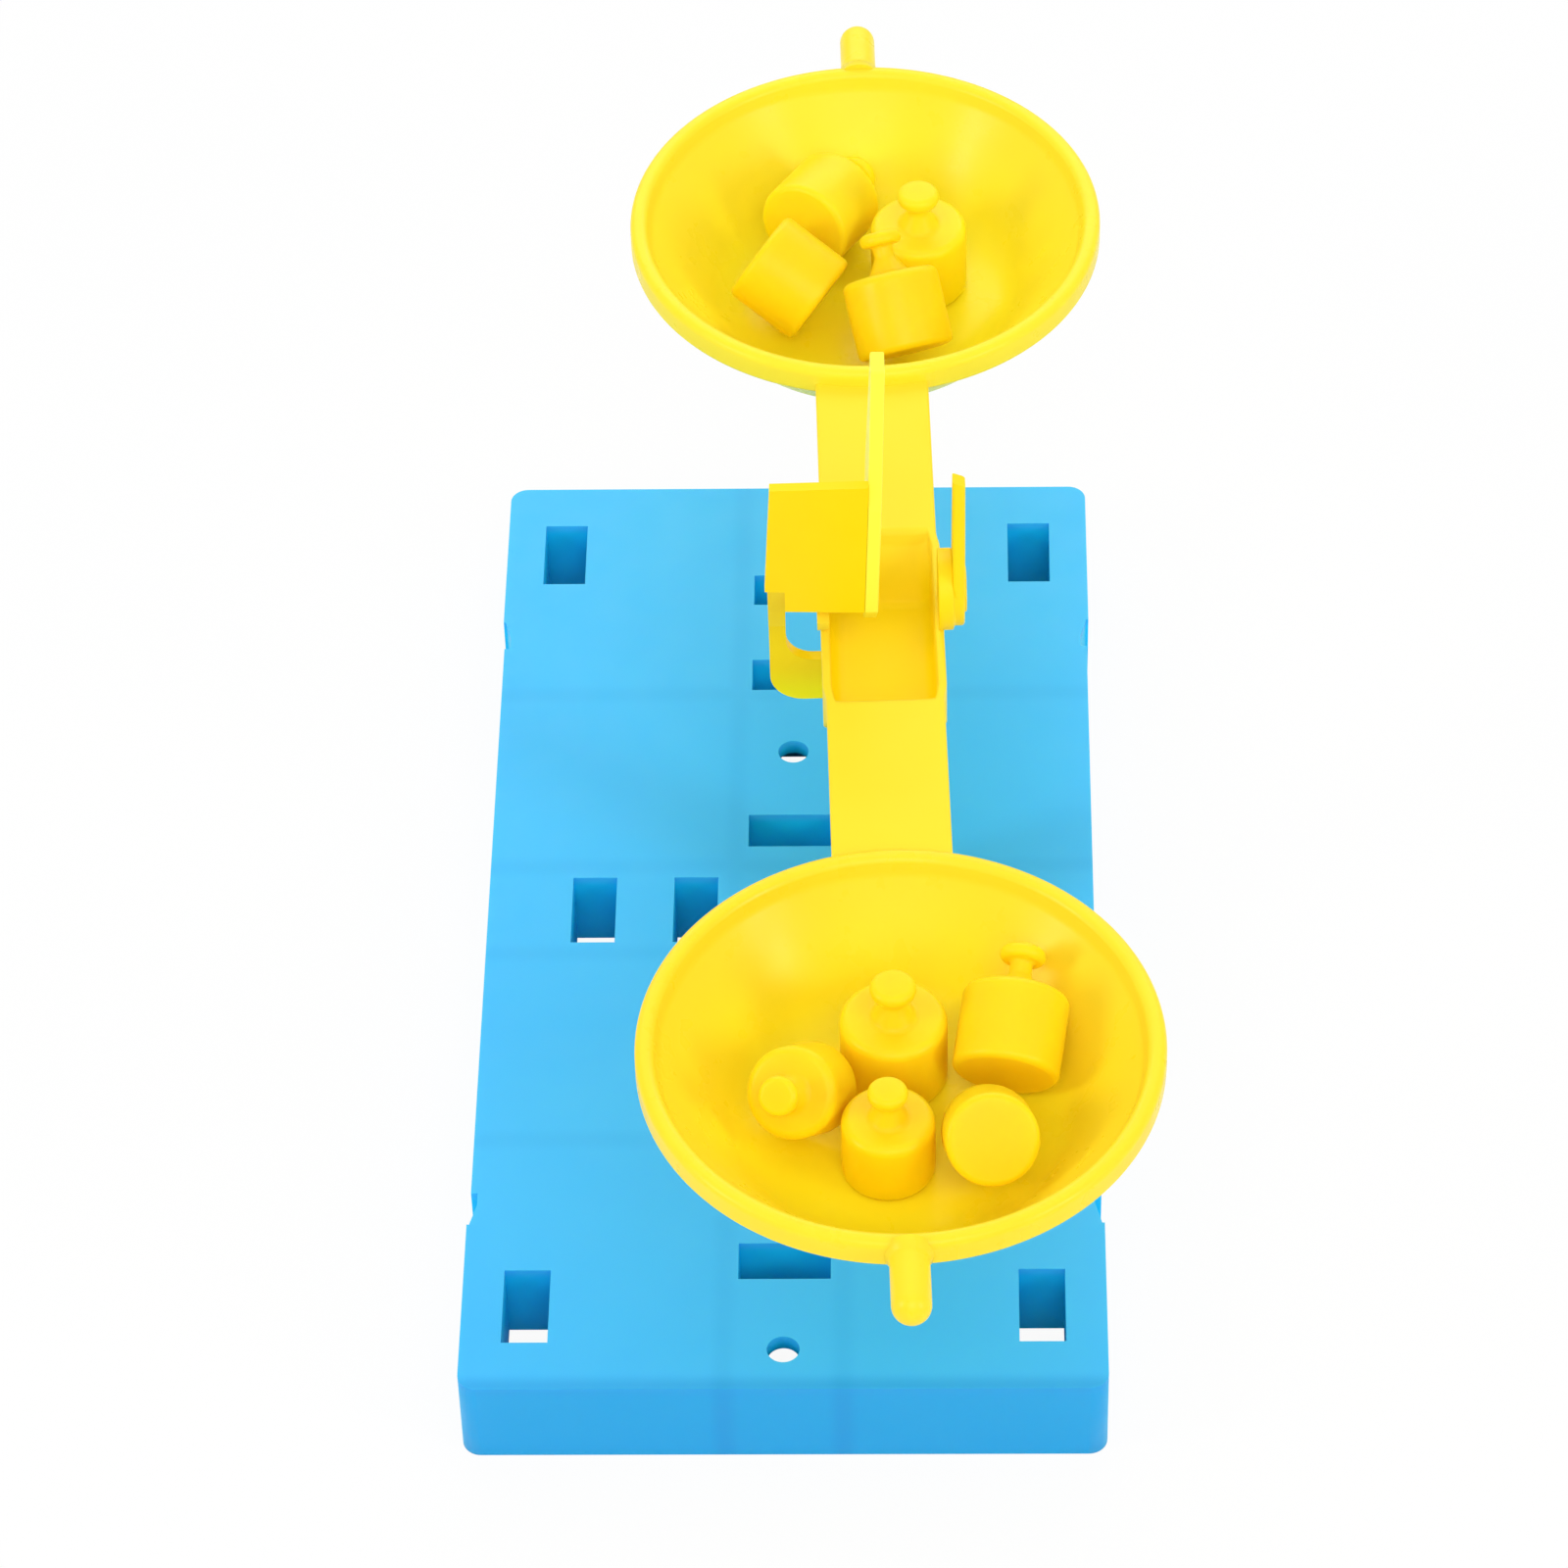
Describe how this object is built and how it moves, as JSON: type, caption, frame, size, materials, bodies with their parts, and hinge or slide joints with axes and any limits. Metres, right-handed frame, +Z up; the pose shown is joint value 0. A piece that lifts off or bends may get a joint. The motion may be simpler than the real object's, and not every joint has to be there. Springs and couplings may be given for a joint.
{
  "type": "toy balance scale",
  "caption": "Toy balance scale: a flat slotted tray base with a plug-in stand, a tilting beam with a round bowl at each end, a pointer and loose knobbed weights.",
  "frame": {"origin": "on the surface that the base stands on, at the middle of the whole part's outline in X and Y", "axes": "+Z up, +Y along the base and the beam away from the picture's viewer, +X to the viewer's right"},
  "size_m": [0.0806, 0.2128, 0.1029],
  "materials": {
    "blue_plastic": "satin, slightly translucent moulded plastic",
    "yellow_plastic": "satin, slightly translucent moulded plastic"
  },
  "bodies": {
    "stand": {"base_plate": "blue_plastic", "stand_post": "yellow_plastic", "stand_yoke": "yellow_plastic", "index_blade": "yellow_plastic", "pivot_pin": "yellow_plastic"},
    "beam": {"hub": "yellow_plastic", "pointer": "yellow_plastic", "strap_near": "yellow_plastic", "strap_far": "yellow_plastic", "bowl_near": "yellow_plastic", "bowl_far": "yellow_plastic"},
    "weight_1": {"weight_1": "yellow_plastic"},
    "weight_2": {"weight_2": "yellow_plastic"},
    "weight_3": {"weight_3": "yellow_plastic"},
    "weight_4": {"weight_4": "yellow_plastic"},
    "weight_5": {"weight_5": "yellow_plastic"},
    "weight_6": {"weight_6": "yellow_plastic"},
    "weight_7": {"weight_7": "yellow_plastic"},
    "weight_8": {"weight_8": "yellow_plastic"},
    "weight_9": {"weight_9": "yellow_plastic"}
  },
  "joints": [
    {"name": "beam_tilt", "type": "hinge", "parent": "stand", "child": "beam", "pos_m": [0.00886, 0, 0.0668], "axis": [0.9995, 0.0332, 0], "range_deg": [-10, 10]},
    {"name": "weight_1_lift", "type": "slide", "parent": "beam", "child": "weight_1", "axis": [0, 0, 1], "range_m": [0, 0.055]},
    {"name": "weight_2_lift", "type": "slide", "parent": "beam", "child": "weight_2", "axis": [0, 0, 1], "range_m": [0, 0.055]},
    {"name": "weight_3_lift", "type": "slide", "parent": "beam", "child": "weight_3", "axis": [0, 0, 1], "range_m": [0, 0.055]},
    {"name": "weight_4_lift", "type": "slide", "parent": "beam", "child": "weight_4", "axis": [0, 0, 1], "range_m": [0, 0.055]},
    {"name": "weight_5_lift", "type": "slide", "parent": "beam", "child": "weight_5", "axis": [0, 0, 1], "range_m": [0, 0.055]},
    {"name": "weight_6_lift", "type": "slide", "parent": "beam", "child": "weight_6", "axis": [0, 0, 1], "range_m": [0, 0.055]},
    {"name": "weight_7_lift", "type": "slide", "parent": "beam", "child": "weight_7", "axis": [0, 0, 1], "range_m": [0, 0.055]},
    {"name": "weight_8_lift", "type": "slide", "parent": "beam", "child": "weight_8", "axis": [0, 0, 1], "range_m": [0, 0.055]},
    {"name": "weight_9_lift", "type": "slide", "parent": "beam", "child": "weight_9", "axis": [0, 0, 1], "range_m": [0, 0.055]}
  ]
}
